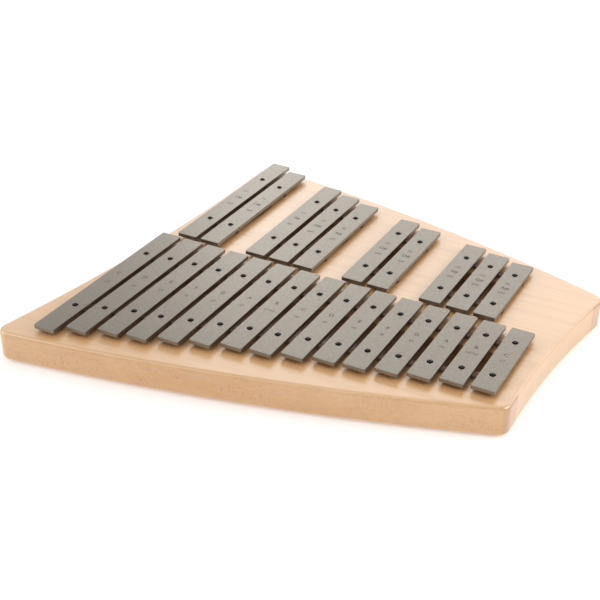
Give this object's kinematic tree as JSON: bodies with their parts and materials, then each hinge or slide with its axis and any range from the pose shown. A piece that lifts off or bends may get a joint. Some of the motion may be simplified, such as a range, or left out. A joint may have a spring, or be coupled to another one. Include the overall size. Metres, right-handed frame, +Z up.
{
  "type": "glockenspiel",
  "caption": "Tapered solid wood board carrying a front and a back row of flat steel bars on felt strips and sleeved nails, played with beaters.",
  "frame": {"origin": "middle of the board's footprint, on the surface that the feet stand on", "axes": "+X towards the high notes (player's right), +Y away from the player, +Z up"},
  "size_m": [0.4296, 0.3936, 0.037],
  "materials": {
    "beech": "satin clear varnish over fine grained beech",
    "bar_steel": "satin warm grey nickel-plated steel",
    "felt": "dense dark brown felt strip with black plastic sleeved nails",
    "rubber": "matt rubber foot"
  },
  "bodies": {
    "base": {"board": "beech", "foot_front_left": "rubber", "foot_front_right": "rubber", "foot_back_right": "rubber", "foot_back_left": "rubber", "strip_front_near": "felt", "strip_front_far": "felt", "strip_back_1_near": "felt", "strip_back_1_far": "felt", "strip_back_2_near": "felt", "strip_back_2_far": "felt", "strip_back_3_near": "felt", "strip_back_3_far": "felt", "strip_back_4_near": "felt", "strip_back_4_far": "felt"},
    "bar_c5": {"bar_c5": "bar_steel"},
    "bar_c_sharp5": {"bar_c_sharp5": "bar_steel"},
    "bar_d5": {"bar_d5": "bar_steel"},
    "bar_d_sharp5": {"bar_d_sharp5": "bar_steel"},
    "bar_e5": {"bar_e5": "bar_steel"},
    "bar_f5": {"bar_f5": "bar_steel"},
    "bar_f_sharp5": {"bar_f_sharp5": "bar_steel"},
    "bar_g5": {"bar_g5": "bar_steel"},
    "bar_g_sharp5": {"bar_g_sharp5": "bar_steel"},
    "bar_a5": {"bar_a5": "bar_steel"},
    "bar_a_sharp5": {"bar_a_sharp5": "bar_steel"},
    "bar_b5": {"bar_b5": "bar_steel"},
    "bar_c6": {"bar_c6": "bar_steel"},
    "bar_c_sharp6": {"bar_c_sharp6": "bar_steel"},
    "bar_d6": {"bar_d6": "bar_steel"},
    "bar_d_sharp6": {"bar_d_sharp6": "bar_steel"},
    "bar_e6": {"bar_e6": "bar_steel"},
    "bar_f6": {"bar_f6": "bar_steel"},
    "bar_f_sharp6": {"bar_f_sharp6": "bar_steel"},
    "bar_g6": {"bar_g6": "bar_steel"},
    "bar_g_sharp6": {"bar_g_sharp6": "bar_steel"},
    "bar_a6": {"bar_a6": "bar_steel"},
    "bar_a_sharp6": {"bar_a_sharp6": "bar_steel"},
    "bar_b6": {"bar_b6": "bar_steel"},
    "bar_c7": {"bar_c7": "bar_steel"}
  },
  "joints": [
    {"name": "c5_lift", "type": "slide", "parent": "base", "child": "bar_c5", "axis": [0, 0, 1], "range_m": [0, 0.02]},
    {"name": "c_sharp5_lift", "type": "slide", "parent": "base", "child": "bar_c_sharp5", "axis": [0, 0, 1], "range_m": [0, 0.02]},
    {"name": "d5_lift", "type": "slide", "parent": "base", "child": "bar_d5", "axis": [0, 0, 1], "range_m": [0, 0.02]},
    {"name": "d_sharp5_lift", "type": "slide", "parent": "base", "child": "bar_d_sharp5", "axis": [0, 0, 1], "range_m": [0, 0.02]},
    {"name": "e5_lift", "type": "slide", "parent": "base", "child": "bar_e5", "axis": [0, 0, 1], "range_m": [0, 0.02]},
    {"name": "f5_lift", "type": "slide", "parent": "base", "child": "bar_f5", "axis": [0, 0, 1], "range_m": [0, 0.02]},
    {"name": "f_sharp5_lift", "type": "slide", "parent": "base", "child": "bar_f_sharp5", "axis": [0, 0, 1], "range_m": [0, 0.02]},
    {"name": "g5_lift", "type": "slide", "parent": "base", "child": "bar_g5", "axis": [0, 0, 1], "range_m": [0, 0.02]},
    {"name": "g_sharp5_lift", "type": "slide", "parent": "base", "child": "bar_g_sharp5", "axis": [0, 0, 1], "range_m": [0, 0.02]},
    {"name": "a5_lift", "type": "slide", "parent": "base", "child": "bar_a5", "axis": [0, 0, 1], "range_m": [0, 0.02]},
    {"name": "a_sharp5_lift", "type": "slide", "parent": "base", "child": "bar_a_sharp5", "axis": [0, 0, 1], "range_m": [0, 0.02]},
    {"name": "b5_lift", "type": "slide", "parent": "base", "child": "bar_b5", "axis": [0, 0, 1], "range_m": [0, 0.02]},
    {"name": "c6_lift", "type": "slide", "parent": "base", "child": "bar_c6", "axis": [0, 0, 1], "range_m": [0, 0.02]},
    {"name": "c_sharp6_lift", "type": "slide", "parent": "base", "child": "bar_c_sharp6", "axis": [0, 0, 1], "range_m": [0, 0.02]},
    {"name": "d6_lift", "type": "slide", "parent": "base", "child": "bar_d6", "axis": [0, 0, 1], "range_m": [0, 0.02]},
    {"name": "d_sharp6_lift", "type": "slide", "parent": "base", "child": "bar_d_sharp6", "axis": [0, 0, 1], "range_m": [0, 0.02]},
    {"name": "e6_lift", "type": "slide", "parent": "base", "child": "bar_e6", "axis": [0, 0, 1], "range_m": [0, 0.02]},
    {"name": "f6_lift", "type": "slide", "parent": "base", "child": "bar_f6", "axis": [0, 0, 1], "range_m": [0, 0.02]},
    {"name": "f_sharp6_lift", "type": "slide", "parent": "base", "child": "bar_f_sharp6", "axis": [0, 0, 1], "range_m": [0, 0.02]},
    {"name": "g6_lift", "type": "slide", "parent": "base", "child": "bar_g6", "axis": [0, 0, 1], "range_m": [0, 0.02]},
    {"name": "g_sharp6_lift", "type": "slide", "parent": "base", "child": "bar_g_sharp6", "axis": [0, 0, 1], "range_m": [0, 0.02]},
    {"name": "a6_lift", "type": "slide", "parent": "base", "child": "bar_a6", "axis": [0, 0, 1], "range_m": [0, 0.02]},
    {"name": "a_sharp6_lift", "type": "slide", "parent": "base", "child": "bar_a_sharp6", "axis": [0, 0, 1], "range_m": [0, 0.02]},
    {"name": "b6_lift", "type": "slide", "parent": "base", "child": "bar_b6", "axis": [0, 0, 1], "range_m": [0, 0.02]},
    {"name": "c7_lift", "type": "slide", "parent": "base", "child": "bar_c7", "axis": [0, 0, 1], "range_m": [0, 0.02]}
  ]
}
